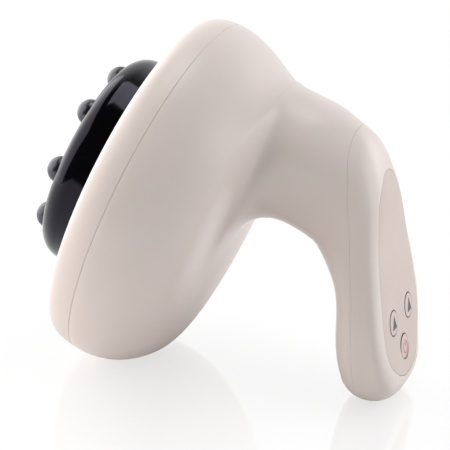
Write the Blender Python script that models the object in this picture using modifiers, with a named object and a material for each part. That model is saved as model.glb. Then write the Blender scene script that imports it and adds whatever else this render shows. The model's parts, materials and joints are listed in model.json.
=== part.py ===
"""A cordless suction and heat massager, lying as in use on the rim of its head and the end of its handle.

The head is a round bowl whose axis leans down to the back. Pieces of the head are placed in a frame on
that axis: local Z runs out of the massaging face, local X runs up the face. Pieces of the handle are
placed in a frame on the control panel: local X runs out of the panel, local Z runs up the handle.
"""

import math

import bmesh
import bpy
import numpy as np
from mathutils import Vector

# Driving sizes, in metres
HEAD_RADIUS = 0.060
WALL = 0.0024
GAP = 0.0003
BALL_RADIUS = 0.0045
KEY_RADIUS = 0.00435
KEY_TRAVEL = 0.0004
CELL_RADIUS = 0.0056
BALL_COUNT = 8
LEAN = math.radians(19.24)
PANEL_TILT = math.radians(9.01)
FACE_STEPS = 36
TURN_STEPS = 32
SECTION_POINTS = 26

# Shell of the head and neck, as shares of HEAD_RADIUS. Each row is one section: depth and height of its
# outer end, depth and height of its inner end, half width, squareness of the outer half, place of the
# widest point between the two ends.
NECK_SHARES = [
    (0.180, 1.000, 0.180, -1.000, 1.000, 2.0, 0.50),
    (0.225, 0.997, 0.230, -1.003, 1.000, 2.0, 0.50),
    (0.355, 0.963, 0.360, -0.978, 0.973, 2.0, 0.50),
    (0.488, 0.905, 0.492, -0.902, 0.903, 2.0, 0.50),
    (0.583, 0.873, 0.602, -0.760, 0.780, 2.0, 0.50),
    (0.637, 0.885, 0.633, -0.547, 0.655, 2.0, 0.50),
    (0.697, 0.892, 0.623, -0.332, 0.530, 2.0, 0.50),
    (0.805, 0.887, 0.650, -0.108, 0.420, 2.0, 0.50),
    (0.927, 0.883, 0.705, 0.067, 0.347, 2.0, 0.50),
    (1.065, 0.853, 0.803, 0.160, 0.310, 2.2, 0.50),
    (1.187, 0.800, 0.900, 0.180, 0.287, 2.6, 0.52),
]
# Sections square to the panel, as shares of HEAD_RADIUS: height up the panel, stand of the outer face
# off the panel's plane, thickness, half width, squareness, place of the widest point. The inner end is
# lower than the outer one by the last value.
HANDLE_SHARES = [
    (0.700, 0.012, 0.470, 0.297, 3.4, 0.58, 0.242),
    (0.467, 0.000, 0.382, 0.350, 5.0, 0.60, 0.033),
    (0.233, 0.000, 0.303, 0.402, 6.5, 0.60, 0.000),
    (0.000, 0.000, 0.311, 0.428, 7.0, 0.60, 0.000),
    (-0.183, 0.006, 0.338, 0.392, 6.0, 0.60, 0.000),
    (-0.300, 0.022, 0.357, 0.337, 4.6, 0.56, 0.000),
]
PANEL_CENTRE_SHARE = (1.584, -0.563)
INNER_SQUARE_SHARE = 0.13
END_LENGTH_SHARE = 0.151
END_POWER = 0.72
END_STEPS = (18, 36, 54, 70, 82)

# Side view of the line between housing and handle cover: depth and height in the head's frame
SPLIT_SHARES = [
    (1.000, 1.100), (1.035, 0.930), (1.052, 0.855), (1.065, 0.795), (1.103, 0.702), (1.150, 0.607),
    (1.208, 0.488), (1.282, 0.372), (1.360, 0.233), (1.440, 0.087), (1.538, -0.148), (1.600, -0.317),
    (1.650, -0.483), (1.680, -0.760),
]
# Outline of the control panel: height up the panel and half width
PANEL_SHARES = [
    (0.808, 0.040), (0.785, 0.090), (0.740, 0.138), (0.667, 0.196), (0.500, 0.253), (0.333, 0.292),
    (0.167, 0.320), (0.000, 0.330), (-0.120, 0.313), (-0.220, 0.265), (-0.300, 0.185), (-0.348, 0.080),
]

# Head, as sizes tied to HEAD_RADIUS
PARTING_DEPTH = 0.180 * HEAD_RADIUS
BEZEL_MOUTH = 0.880 * HEAD_RADIUS
BEZEL_LIP = 0.040 * HEAD_RADIUS
BEZEL_SWELL = 0.84
SPIGOT_LENGTH = 0.040 * HEAD_RADIUS
CUP_HEIGHT = 0.267 * HEAD_RADIUS
CUP_FOOT = 0.795 * HEAD_RADIUS
CUP_SIDE = 0.612 * HEAD_RADIUS
CUP_ROUND = 0.110 * HEAD_RADIUS
CUP_WALL = 0.9 * WALL
BALL_RING = 0.453 * HEAD_RADIUS
BALL_LIFT = -0.001 * HEAD_RADIUS
BALL_TWIST = math.radians(-3.5)
RECESS_RADIUS = 0.290 * HEAD_RADIUS
RECESS_DEPTH = 0.165 * HEAD_RADIUS

# Keys: both upper keys stand this far from the middle, the lower key this far below them
KEY_SPREAD = 0.1495 * HEAD_RADIUS
KEY_DROP = 0.185 * HEAD_RADIUS
KEY_RISE = 0.8 * GAP
PANEL_THICKNESS = 0.45 * WALL


def srgb(code):
    """Linear colour from a hexadecimal screen colour."""
    parts = [int(code[i:i + 2], 16) / 255 for i in (0, 2, 4)]
    return [c / 12.92 if c <= 0.04045 else ((c + 0.055) / 1.055) ** 2.4 for c in parts] + [1.0]


def material(name, code, roughness, metallic=0.0):
    made = bpy.data.materials.new(name)
    made.use_nodes = True
    shader = made.node_tree.nodes["Principled BSDF"]
    shader.inputs["Base Color"].default_value = srgb(code)
    shader.inputs["Roughness"].default_value = roughness
    shader.inputs["Metallic"].default_value = metallic
    made.diffuse_color = srgb(code)
    return made


def collection(name, hidden=False):
    made = bpy.data.collections.new(name)
    bpy.context.scene.collection.children.link(made)
    made.hide_render = hidden
    return made


def frame(name, position, turn):
    empty = bpy.data.objects.new(name, None)
    empty.location = position
    empty.rotation_euler = (0, turn, 0)
    empty.empty_display_size = HEAD_RADIUS / 4
    parts.objects.link(empty)
    return empty


def add(name, mesh, parent=None, look=None, cutter=False):
    """One object from a mesh. A cutter is hidden from the render."""
    obj = bpy.data.objects.new(name, mesh)
    (cutters if cutter else parts).objects.link(obj)
    if cutter:
        obj.hide_render = True
        obj.display_type = "WIRE"
    obj.parent = parent
    if look is not None:
        # Each piece has its own material, so that one can be changed alone
        code, roughness, metallic = look
        mesh.materials.append(material(name + "_look", code, roughness, metallic))
    return obj


def finished(mesh, made):
    made.to_mesh(mesh)
    made.free()
    return mesh


def box(name, size, centre, **more):
    made = bmesh.new()
    bmesh.ops.create_cube(made, size=1)
    bmesh.ops.scale(made, vec=size, verts=made.verts)
    bmesh.ops.translate(made, vec=centre, verts=made.verts)
    return add(name, finished(bpy.data.meshes.new(name), made), **more)


def rod(name, radius, length, centre, axis="Z", sides=20, **more):
    """A cylinder along one axis of its parent's frame."""
    made = bmesh.new()
    bmesh.ops.create_cone(made, cap_ends=True, segments=sides, radius1=radius, radius2=radius, depth=length)
    for vert in made.verts:
        x, y, z = vert.co
        vert.co = {"Z": (x, y, z), "X": (z, x, y), "Y": (y, z, x)}[axis]
    bmesh.ops.translate(made, vec=centre, verts=made.verts)
    return add(name, finished(bpy.data.meshes.new(name), made), **more)


def turned(name, profile, steps=TURN_STEPS, closed=True, **more):
    """A Screw round local Z. The profile is (radius, height), down the outer side, then up the inner side."""
    mesh = bpy.data.meshes.new(name)
    count = len(profile)
    edges = [(i, i + 1) for i in range(count - 1)] + ([(count - 1, 0)] if closed else [])
    mesh.from_pydata([(r, 0, z) for r, z in profile], edges, [])
    obj = add(name, mesh, **more)
    screw = obj.modifiers.new("Turn", "SCREW")
    screw.axis = "Z"
    screw.steps = screw.render_steps = steps
    screw.use_merge_vertices = True
    screw.merge_threshold = 0.00001
    return obj


def slab(name, outline, thickness, **more):
    """A flat outline in the XZ plane, made solid to both sides by a Solidify."""
    mesh = bpy.data.meshes.new(name)
    mesh.from_pydata([(x, 0, z) for x, z in outline], [], [list(range(len(outline)))])
    obj = add(name, mesh, **more)
    solid = obj.modifiers.new("Thickness", "SOLIDIFY")
    solid.thickness = thickness
    solid.offset = 0
    return obj


def boolean(obj, other, operation="DIFFERENCE"):
    step = obj.modifiers.new(f"{operation.title()} {other.name}", "BOOLEAN")
    step.object = other
    step.operation = operation
    step.solver = "EXACT"
    return obj


def bevel(obj, width, segments=1, angle=35):
    step = obj.modifiers.new("Bevel", "BEVEL")
    step.width = width
    step.segments = segments
    step.limit_method = "ANGLE"
    step.angle_limit = math.radians(angle)
    return obj


def thick(obj, thickness, offset=-1.0):
    step = obj.modifiers.new("Wall", "SOLIDIFY")
    step.thickness = thickness
    step.offset = offset
    step.use_even_offset = True
    return obj


def tube(name, points, radius, **more):
    """A hose: a smooth curve with a round bevel and closed ends."""
    curve = bpy.data.curves.new(name, "CURVE")
    curve.dimensions = "3D"
    curve.resolution_u = 3
    curve.bevel_depth = radius
    curve.bevel_resolution = 1
    curve.use_fill_caps = True
    line = curve.splines.new("BEZIER")
    line.bezier_points.add(len(points) - 1)
    for spot, co in zip(line.bezier_points, points):
        spot.co = co
        spot.handle_left_type = spot.handle_right_type = "AUTO"
    return add(name, curve, **more)


def smooth(rows, count):
    """Catmull-Rom through the rows, with the given number of steps between two rows."""
    rows = np.asarray(rows, float)
    ends = np.vstack([2 * rows[0] - rows[1], rows, 2 * rows[-1] - rows[-2]])
    out = []
    for i in range(len(rows) - 1):
        a, b, c, d = ends[i:i + 4]
        for k in range(count):
            t = k / count
            out.append(0.5 * (2 * b + (c - a) * t + (2 * a - 5 * b + 4 * c - d) * t ** 2
                              + (3 * b - a - 3 * c + d) * t ** 3))
    return np.array(out + [rows[-1]])


def in_world(depth, height):
    """Side view point (x, z) of a depth and height in the head's frame, from the head's centre."""
    return (depth * math.cos(LEAN) + height * math.sin(LEAN), -depth * math.sin(LEAN) + height * math.cos(LEAN))


def on_panel(up, out):
    """Side view point (x, z) from the head's centre, of a place in the panel's frame."""
    x, z = (HEAD_RADIUS * share for share in PANEL_CENTRE_SHARE)
    return (x + out * math.cos(PANEL_TILT) - up * math.sin(PANEL_TILT),
            z + out * math.sin(PANEL_TILT) + up * math.cos(PANEL_TILT))


def shell_sections():
    """Rows of outer x, z, inner x, z, half width, squareness, middle, from the parting line to the end."""
    rows = []
    for depth_out, height_out, depth_in, height_in, half, square, middle in NECK_SHARES:
        start = in_world(depth_out * HEAD_RADIUS, height_out * HEAD_RADIUS)
        end = in_world(depth_in * HEAD_RADIUS, height_in * HEAD_RADIUS)
        rows.append([*start, *end, half * HEAD_RADIUS, square, middle])
    for up, out, thickness, half, square, middle, lean in HANDLE_SHARES:
        start = on_panel(up * HEAD_RADIUS, out * HEAD_RADIUS)
        end = on_panel((up - lean) * HEAD_RADIUS, (out - thickness) * HEAD_RADIUS)
        rows.append([*start, *end, half * HEAD_RADIUS, square, middle])
    return smooth(rows, 2)


def section_ring(row):
    """Points of one section: round at the inner end, squarer at the outer end."""
    start = Vector((float(row[0]), 0, float(row[1])))
    end = Vector((float(row[2]), 0, float(row[3])))
    half, square, middle = (float(value) for value in row[4:7])
    inner_square = 2 + (square - 2) * INNER_SQUARE_SHARE
    ring = []
    for k in range(SECTION_POINTS):
        turn = 2 * math.pi * k / SECTION_POINTS
        across, along = math.sin(turn), math.cos(turn)
        power = 2 / (square if along > 0 else inner_square)
        reach = abs(along) ** power * ((1 - middle) if along > 0 else -middle)
        side = math.copysign(abs(across) ** power, across)
        ring.append(end + middle * (start - end) + reach * (start - end) + Vector((0, side * half, 0)))
    return ring


def shell_rings():
    """Rings of the whole shell, with the rounded end of the handle, and its last point."""
    rows = shell_sections()
    rings = [section_ring(row) for row in rows]
    last = rows[-1]
    middle = (last[:2] + last[2:4]) / 2
    before = (rows[-2][:2] + rows[-2][2:4]) / 2
    ahead = (middle - before) / np.linalg.norm(middle - before)
    length = END_LENGTH_SHARE * HEAD_RADIUS
    for degrees in END_STEPS:
        turn = math.radians(degrees)
        centre = middle + ahead * length * math.sin(turn)
        shrink = math.cos(turn) ** END_POWER
        arm = (last[:2] - last[2:4]) / 2 * shrink
        square = last[5] + (2.2 - last[5]) * math.sin(turn)
        rings.append(section_ring([*(centre + arm), *(centre - arm), last[4] * shrink, square, last[6]]))
    tip = middle + ahead * length
    return rings, Vector((tip[0], 0, tip[1]))


def skin(name, rings, tip, shift, **more):
    """The open loft through the rings, closed at the tip."""
    count = len(rings[0])
    points = [point + shift for ring in rings for point in ring] + [tip + shift]
    faces = []
    for i in range(len(rings) - 1):
        for j in range(count):
            k = (j + 1) % count
            faces.append((i * count + k, i * count + j, (i + 1) * count + j, (i + 1) * count + k))
    start = (len(rings) - 1) * count
    for j in range(count):
        faces.append((start + (j + 1) % count, start + j, len(points) - 1))
    mesh = bpy.data.meshes.new(name)
    mesh.from_pydata([tuple(point) for point in points], [], faces)
    obj = add(name, mesh, **more)
    for face in mesh.polygons:
        face.use_smooth = True
    return obj


def band(points, offset, reach):
    """Outline of the side behind a line, moved along the line's own normal."""
    points = np.array(points)
    along = np.gradient(points, axis=0)
    along /= np.linalg.norm(along, axis=1)[:, None]
    moved = points + offset * np.column_stack([-along[:, 1], along[:, 0]])
    far = [points[-1] + reach * np.array([1.0, 0.0]), points[0] + reach * np.array([1.0, 0.0])]
    return [tuple(p) for p in moved] + [tuple(p) for p in far]


def arc(centre, radii, start, end, count):
    """Points of an elliptical arc in (radius, height), angles in degrees."""
    return [(centre[0] + radii[0] * math.cos(math.radians(a)), centre[1] + radii[1] * math.sin(math.radians(a)))
            for a in np.linspace(start, end, count)]


# Start from an empty scene
for old in list(bpy.data.objects):
    bpy.data.objects.remove(old)
parts = collection("suction_massager")
cutters = collection("cutters", hidden=True)

CREAM = ("DDD5CC", 0.32, 0.0)
PANEL_BEIGE = ("D2C8BE", 0.55, 0.0)
BLACK_GLOSS = ("0B0B0D", 0.12, 0.0)
STEEL = ("8F9296", 0.2, 1.0)
DARK_PLASTIC = ("2A2B2E", 0.5, 0.0)
RUBBER = ("1A1A1A", 0.8, 0.0)
BOARD = ("1F5A3A", 0.5, 0.0)
FELT = ("E8E8E4", 0.95, 0.0)
CELL = ("2F6FA8", 0.4, 0.0)
BRASS = ("B08D4A", 0.3, 1.0)
HOSE = ("D8DCDC", 0.35, 0.0)

# The floor touches the lowest point of the shell, and the origin is below the middle
rings, tip = shell_rings()
cloud = np.array([tuple(point) for ring in rings for point in ring] + [tuple(tip)])
face_front = CUP_HEIGHT + BALL_LIFT + BALL_RADIUS
front = min(in_world(-face_front, -BALL_RING)[0], cloud[:, 0].min())
centre = Vector((-(front + cloud[:, 0].max()) / 2, 0, -cloud[:, 2].min()))
head = frame("head_frame", centre, LEAN - math.pi / 2)
panel_x, panel_z = on_panel(0, 0)
grip = frame("grip_frame", centre + Vector((panel_x, 0, panel_z)), -PANEL_TILT)

# The shell is one loft, split along the side line into housing and cover
parting_low = -PARTING_DEPTH - GAP / 2
parting_cut = slab("parting_cut", [(-2 * HEAD_RADIUS, parting_low), (2 * HEAD_RADIUS, parting_low),
                                   (2 * HEAD_RADIUS, HEAD_RADIUS), (-2 * HEAD_RADIUS, HEAD_RADIUS)],
                   4 * HEAD_RADIUS, parent=head, cutter=True)
split = [in_world(depth * HEAD_RADIUS, height * HEAD_RADIUS) for depth, height in SPLIT_SHARES]
split = [(x + centre.x, z + centre.z) for x, z in split]
cover_cut = slab("cover_cut", band(split, -GAP / 2, 1.5 * HEAD_RADIUS), 3 * HEAD_RADIUS, cutter=True)
cover_keep = slab("cover_keep", band(split, GAP / 2, 1.5 * HEAD_RADIUS), 3 * HEAD_RADIUS, cutter=True)

rear_housing = skin("rear_housing", rings, tip, centre, look=CREAM)
thick(rear_housing, WALL)
boolean(rear_housing, parting_cut)
boolean(rear_housing, cover_cut)

handle_cover = skin("handle_cover", rings[14:], tip, centre, look=CREAM)
thick(handle_cover, WALL)
boolean(handle_cover, cover_keep, "INTERSECT")

# The panel is a thin skin of the same surface, let into the cover inside its own outline
outline = np.array(PANEL_SHARES) * HEAD_RADIUS
outline = [(z, y) for z, y in outline] + [(z, -y) for z, y in outline[::-1]]


def panel_prism(name, grow):
    """The outline of the panel, grown by a distance, as a block through the outer face of the handle."""
    points = np.array(outline)
    along = np.roll(points, -1, axis=0) - np.roll(points, 1, axis=0)
    along /= np.linalg.norm(along, axis=1)[:, None]
    points = points + grow * np.column_stack([along[:, 1], -along[:, 0]])
    mesh = bpy.data.meshes.new(name)
    mesh.from_pydata([(0, y, z) for z, y in points], [], [list(range(len(points)))])
    obj = add(name, mesh, parent=grip, cutter=True)
    thick(obj, 0.2 * HEAD_RADIUS, 0)
    return obj


panel_block = panel_prism("panel_block", 0)
pocket_block = panel_prism("pocket_block", GAP)
pocket = skin("panel_pocket", rings[14:], tip, centre, cutter=True)
thick(pocket, 2 * (PANEL_THICKNESS + GAP), 0)
boolean(pocket, pocket_block, "INTERSECT")
boolean(handle_cover, pocket)
control_panel = skin("control_panel", rings[14:], tip, centre, look=PANEL_BEIGE)
thick(control_panel, PANEL_THICKNESS)
boolean(control_panel, panel_block, "INTERSECT")

# Keys, each with a flange under the cover and a stem over its switch
key_places = {
    "button_heat": (-KEY_SPREAD, 0),
    "button_suction": (KEY_SPREAD, 0),
    "button_power": (0, -KEY_DROP),
}
flange_top = -WALL - 2.2 * GAP
flange_low = flange_top - 0.3 * WALL
stem_end = flange_low - 0.45 * WALL
switch_top = stem_end - KEY_TRAVEL - GAP / 2
board_top = switch_top - 0.8 * WALL
board_low = board_top - 0.6 * WALL
for name, (across, up) in key_places.items():
    hole = rod(name + "_hole", KEY_RADIUS + GAP, 6 * WALL, (0, across, up), axis="X", sides=16, parent=grip,
               cutter=True)
    boolean(control_panel, hole)
    boolean(handle_cover, hole)
    key = turned(name, [(0, KEY_RISE), (KEY_RADIUS - GAP, KEY_RISE), (KEY_RADIUS, KEY_RISE - GAP),
                        (KEY_RADIUS, flange_top), (1.24 * KEY_RADIUS, flange_top), (1.24 * KEY_RADIUS, flange_low),
                        (0.35 * KEY_RADIUS, flange_low), (0.35 * KEY_RADIUS, stem_end), (0, stem_end)],
                 steps=16, closed=False, parent=grip, look=PANEL_BEIGE)
    key.location = (0, across, up)
    key.rotation_euler = (0, math.pi / 2, 0)

key_board = box("key_board", (board_top - board_low, 3.1 * KEY_SPREAD, 2.15 * KEY_DROP),
                ((board_top + board_low) / 2, 0, -0.68 * KEY_DROP), parent=grip, look=BOARD)
for name, (across, up) in key_places.items():
    switch = box(name + "_switch", (switch_top - board_low, 1.3 * KEY_RADIUS, 1.3 * KEY_RADIUS),
                 ((switch_top + board_low) / 2, across, up), parent=grip, cutter=True)
    boolean(key_board, switch, "UNION")

# Bezel: bulged front, lip over the cup's flange, spigot into the housing
front_depth = PARTING_DEPTH - GAP / 2
spigot_out = HEAD_RADIUS - WALL - 5 * GAP
spigot_in = spigot_out - 0.85 * WALL
spigot_low = -front_depth - SPIGOT_LENGTH
bulge = [(BEZEL_MOUTH + (HEAD_RADIUS - BEZEL_MOUTH) * math.sin(a) ** BEZEL_SWELL, -front_depth * (1 - math.cos(a)))
         for a in np.linspace(0, math.pi / 2, 8)]
head_bezel = turned("head_bezel", bulge + [
    (spigot_out, -front_depth), (spigot_out, spigot_low), (spigot_in, spigot_low),
    (spigot_in, -2.3 * BEZEL_LIP), (spigot_in - GAP, -BEZEL_LIP), (BEZEL_MOUTH - GAP, -BEZEL_LIP),
    (BEZEL_MOUTH - GAP, -GAP)], steps=FACE_STEPS, parent=head, look=CREAM)

# Cup: round-edged face with the suction recess, sloping side, flange behind the bezel
round_centre = (CUP_SIDE - CUP_ROUND, CUP_HEIGHT - 1.1 * CUP_ROUND)
round_radii = (CUP_SIDE - round_centre[0], CUP_HEIGHT - round_centre[1])
flange_out = spigot_in - 3 * GAP
flange_high = -BEZEL_LIP - GAP
cup_flange_low = flange_high - 0.9 * WALL
ring_floor = CUP_HEIGHT - 0.106 * HEAD_RADIUS
recess_floor = CUP_HEIGHT - RECESS_DEPTH
ledge = recess_floor + 0.035 * HEAD_RADIUS
recess_back = recess_floor - CUP_WALL
edge = 0.016 * HEAD_RADIUS
massage_cup = turned("massage_cup", [
    (RECESS_RADIUS + edge, CUP_HEIGHT),
    *arc(round_centre, round_radii, 90, 0, 6),
    (CUP_FOOT, 0), (CUP_FOOT, flange_high), (flange_out, flange_high),
    (flange_out, cup_flange_low), (CUP_FOOT - CUP_WALL, cup_flange_low), (CUP_FOOT - 1.2 * CUP_WALL, -0.8 * CUP_WALL),
    (CUP_SIDE - 0.6 * CUP_WALL, round_centre[1] - 0.9 * CUP_WALL), (CUP_SIDE - 1.1 * CUP_WALL, ring_floor),
    (RECESS_RADIUS + CUP_WALL, ring_floor), (RECESS_RADIUS + CUP_WALL, recess_back), (0.05 * HEAD_RADIUS, recess_back),
    (0.05 * HEAD_RADIUS, recess_floor), (0.9 * RECESS_RADIUS, recess_floor), (0.9 * RECESS_RADIUS, ledge),
    (RECESS_RADIUS, ledge), (RECESS_RADIUS, CUP_HEIGHT - edge), (RECESS_RADIUS + 0.3 * edge, CUP_HEIGHT - 0.3 * edge),
], steps=FACE_STEPS, parent=head, look=BLACK_GLOSS)

# Massage balls: each turns on its own stem through the cup's ring, with a flange behind
ball_height = CUP_HEIGHT + BALL_LIFT
neck = 0.4 * BALL_RADIUS
neck_angle = math.degrees(math.asin(neck / BALL_RADIUS))
clip_top = ring_floor - ball_height - GAP
clip_low = clip_top - 0.18 * BALL_RADIUS
for index in range(BALL_COUNT):
    turn = 2 * math.pi * index / BALL_COUNT + BALL_TWIST
    spot = (BALL_RING * math.cos(turn), -BALL_RING * math.sin(turn), ball_height)
    seat = turned(f"ball_seat_{index + 1}", arc((0, 0), (BALL_RADIUS + GAP,) * 2, 90, -90 + neck_angle, 6)
                  + [(neck + GAP, -BALL_RADIUS), (neck + GAP, -3 * BALL_RADIUS), (0, -3 * BALL_RADIUS)],
                  steps=10, closed=False, parent=head, cutter=True)
    seat.location = spot
    boolean(massage_cup, seat)
    roller = turned(f"massage_ball_{index + 1}", arc((0, 0), (BALL_RADIUS,) * 2, 90, -90 + neck_angle, 6)
                    + [(neck, clip_top), (1.6 * neck, clip_top), (1.6 * neck, clip_low), (0, clip_low)],
                    steps=10, closed=False, parent=head, look=STEEL)
    roller.location = spot

# Behind the face: heater, filter, grille, spout, seal
clip_floor = ball_height + clip_low
heater_plate = turned("heater_plate", [
    (CUP_SIDE - 2.2 * CUP_WALL, clip_floor - GAP), (CUP_SIDE - 2.2 * CUP_WALL, clip_floor - 0.5 * WALL),
    (RECESS_RADIUS + CUP_WALL + GAP, clip_floor - 0.5 * WALL), (RECESS_RADIUS + CUP_WALL + GAP, clip_floor - GAP)],
    parent=head, look=STEEL)
suction_grille = rod("suction_grille", RECESS_RADIUS - GAP, 0.5 * WALL, (0, 0, ledge + GAP + 0.25 * WALL),
                     sides=TURN_STEPS, parent=head, look=BLACK_GLOSS)
for index in range(7):
    turn = math.pi * (index - 1) / 3
    reach = 0 if index == 0 else 0.55 * RECESS_RADIUS
    hole = rod(f"grille_hole_{index + 1}", 0.14 * RECESS_RADIUS, 3 * WALL,
               (reach * math.cos(turn), reach * math.sin(turn), ledge), sides=8, parent=head, cutter=True)
    boolean(suction_grille, hole)
filter_pad = rod("filter_pad", 0.9 * RECESS_RADIUS - GAP, ledge - recess_floor - 2 * GAP,
                 (0, 0, (ledge + recess_floor) / 2), sides=20, parent=head, look=FELT)
spout_end = -0.15 * HEAD_RADIUS
bore = 0.018 * HEAD_RADIUS
suction_spout = turned("suction_spout", [
    (0.05 * HEAD_RADIUS - GAP, recess_floor - GAP), (0.05 * HEAD_RADIUS - GAP, recess_back - GAP),
    (0.08 * HEAD_RADIUS, recess_back - GAP), (0.08 * HEAD_RADIUS, recess_back - 0.5 * WALL),
    (2 * bore, recess_back - 0.5 * WALL), (2 * bore, spout_end), (bore, spout_end), (bore, recess_floor - GAP)],
    steps=12, parent=head, look=DARK_PLASTIC)
seal_low = cup_flange_low - GAP - 0.6 * WALL
cup_seal = turned("cup_seal", [
    (flange_out, cup_flange_low - GAP), (flange_out, seal_low), (0.85 * HEAD_RADIUS, seal_low),
    (0.85 * HEAD_RADIUS, cup_flange_low - GAP)], parent=head, look=RUBBER)

# Chassis across the head: its collar presses the seal, its plate carries pump, valve and board
plate_top = spigot_low - GAP
plate_low = plate_top - 0.75 * WALL
hose_hole = 0.1 * HEAD_RADIUS
inner_chassis = turned("inner_chassis", [
    (flange_out, seal_low - GAP), (flange_out, plate_top), (HEAD_RADIUS - WALL - 6 * GAP, plate_top),
    (HEAD_RADIUS - WALL - 6 * GAP, plate_low), (hose_hole, plate_low), (hose_hole, plate_top - 0.15 * WALL),
    (0.86 * HEAD_RADIUS, plate_top - 0.15 * WALL), (0.86 * HEAD_RADIUS, seal_low - GAP)],
    parent=head, look=DARK_PLASTIC)
board_size = (0.46 * HEAD_RADIUS, 0.72 * HEAD_RADIUS)
board_at = -0.47 * HEAD_RADIUS
post_height = 0.9 * WALL
for index in range(4):
    side_x, side_y = ((-1, -1), (-1, 1), (1, -1), (1, 1))[index]
    post = rod(f"chassis_post_{index + 1}", 0.7 * WALL, 2 * post_height,
               (board_at + side_x * 0.4 * board_size[0], side_y * 0.4 * board_size[1], plate_low), sides=8,
               parent=head, cutter=True)
    boolean(inner_chassis, post, "UNION")
main_board = box("main_board", (*board_size, 0.6 * WALL),
                 (board_at, 0, plate_low - post_height - GAP - 0.3 * WALL), parent=head, look=BOARD)

motor_radius = 0.15 * HEAD_RADIUS
motor_x = 0.27 * HEAD_RADIUS
motor_z = plate_low - GAP - 0.5 * WALL - GAP - motor_radius
motor_mount = box("motor_mount", (2.3 * motor_radius, 1.6 * motor_radius, motor_radius + GAP),
                  (motor_x, -motor_radius, plate_low - GAP - (motor_radius + GAP) / 2), parent=head, look=RUBBER)
boolean(motor_mount, rod("motor_bed", motor_radius + GAP, 4 * motor_radius, (motor_x, -motor_radius, motor_z),
                         axis="Y", sides=32, parent=head, cutter=True))
pump_motor = rod("pump_motor", motor_radius, 2.4 * motor_radius, (motor_x, -motor_radius, motor_z), axis="Y",
                 parent=head, look=STEEL)
bevel(pump_motor, 0.1 * motor_radius)
pump_length = 1.6 * motor_radius
pump_y = 0.2 * motor_radius + GAP + pump_length / 2
pump_head = box("pump_head", (2 * motor_radius, pump_length, 2 * motor_radius), (motor_x, pump_y, motor_z),
                parent=head, look=DARK_PLASTIC)
bevel(pump_head, 0.15 * motor_radius)
valve_size = (0.2 * HEAD_RADIUS, 0.16 * HEAD_RADIUS, 0.18 * HEAD_RADIUS)
valve_at = (motor_x, -0.53 * HEAD_RADIUS, plate_low - GAP - valve_size[2] / 2)
relief_valve = box("relief_valve", valve_size, valve_at, parent=head, look=STEEL)
bevel(relief_valve, 0.1 * valve_size[1])
pump_side = motor_x - motor_radius - GAP
suction_hose = tube("suction_hose", [
    (0, 0, spout_end - GAP), (0, 0, plate_low), (0.01 * HEAD_RADIUS, 0.04 * HEAD_RADIUS, motor_z + 0.3 * motor_radius),
    (pump_side - 0.05 * HEAD_RADIUS, 0.11 * HEAD_RADIUS, motor_z - 0.3 * motor_radius),
    (pump_side - GAP, 0.11 * HEAD_RADIUS, motor_z - 0.3 * motor_radius)], 1.7 * bore, parent=head, look=HOSE)
vent_z = motor_z + 0.45 * motor_radius
vent_hose = tube("vent_hose", [
    (valve_at[0] - valve_size[0] / 2 - GAP, valve_at[1], vent_z), (0, 0.96 * valve_at[1], vent_z),
    (-0.1 * HEAD_RADIUS, 0.6 * valve_at[1], vent_z), (-0.11 * HEAD_RADIUS, 0.07 * HEAD_RADIUS, vent_z),
    (pump_side - 0.06 * HEAD_RADIUS, 0.24 * HEAD_RADIUS, vent_z), (pump_side - GAP, 0.24 * HEAD_RADIUS, vent_z)],
    1.4 * bore, parent=head, look=HOSE)

# Handle: cell in two foam sleeves, charging socket in the inner face near the end
cell_low = 0.4 * KEY_DROP + GAP
cell_length = 7.6 * CELL_RADIUS
cell_x = -0.154 * HEAD_RADIUS
cell_z = cell_low + cell_length / 2
battery_cell = rod("battery_cell", CELL_RADIUS * 0.94, cell_length, (cell_x, 0, cell_z), parent=grip, look=CELL)
bevel(battery_cell, 0.1 * CELL_RADIUS)
for index, up in enumerate((cell_low + 0.2 * cell_length, cell_low + 0.8 * cell_length)):
    sleeve = turned(f"cell_sleeve_{index + 1}", [
        (1.1 * CELL_RADIUS, 0.5 * CELL_RADIUS), (1.1 * CELL_RADIUS, -0.5 * CELL_RADIUS),
        (0.94 * CELL_RADIUS + GAP, -0.5 * CELL_RADIUS), (0.94 * CELL_RADIUS + GAP, 0.5 * CELL_RADIUS)],
        steps=16, parent=grip, look=RUBBER)
    sleeve.location = (cell_x, 0, up)
inner_face = (HANDLE_SHARES[4][1] - HANDLE_SHARES[4][2]) * HEAD_RADIUS
socket_up = HANDLE_SHARES[4][0] * HEAD_RADIUS
socket_half = (0.078 * HEAD_RADIUS, 0.03 * HEAD_RADIUS)
socket_length = 3.2 * WALL
charge_socket = box("charge_socket", (socket_length, 2 * socket_half[0], 2 * socket_half[1]),
                    (inner_face + 0.4 * WALL + socket_length / 2, 0, socket_up), parent=grip, look=DARK_PLASTIC)
boolean(charge_socket, box("socket_mouth", (socket_length, 1.6 * socket_half[0], 1.0 * socket_half[1]),
                           (inner_face, 0, socket_up), parent=grip, cutter=True))
boolean(rear_housing, box("socket_slot", (4 * WALL, 2 * (socket_half[0] + GAP), 2 * (socket_half[1] + GAP)),
                          (inner_face, 0, socket_up), parent=grip, cutter=True))
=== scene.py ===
# %% [markdown]
# # A cordless suction and heat massager
#
# The object lies on the rim of its round head and on the end of its handle. The frame that is loaded
# here holds the engineer's solids, in metres, with every key and ball on its own moving body. This
# lesson lays a smooth, finely curved skin over them and gives each surface its real finish.

# %% Load the frame
import json
import math

import bmesh
import bpy
import numpy as np
from mathutils import Matrix


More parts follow.
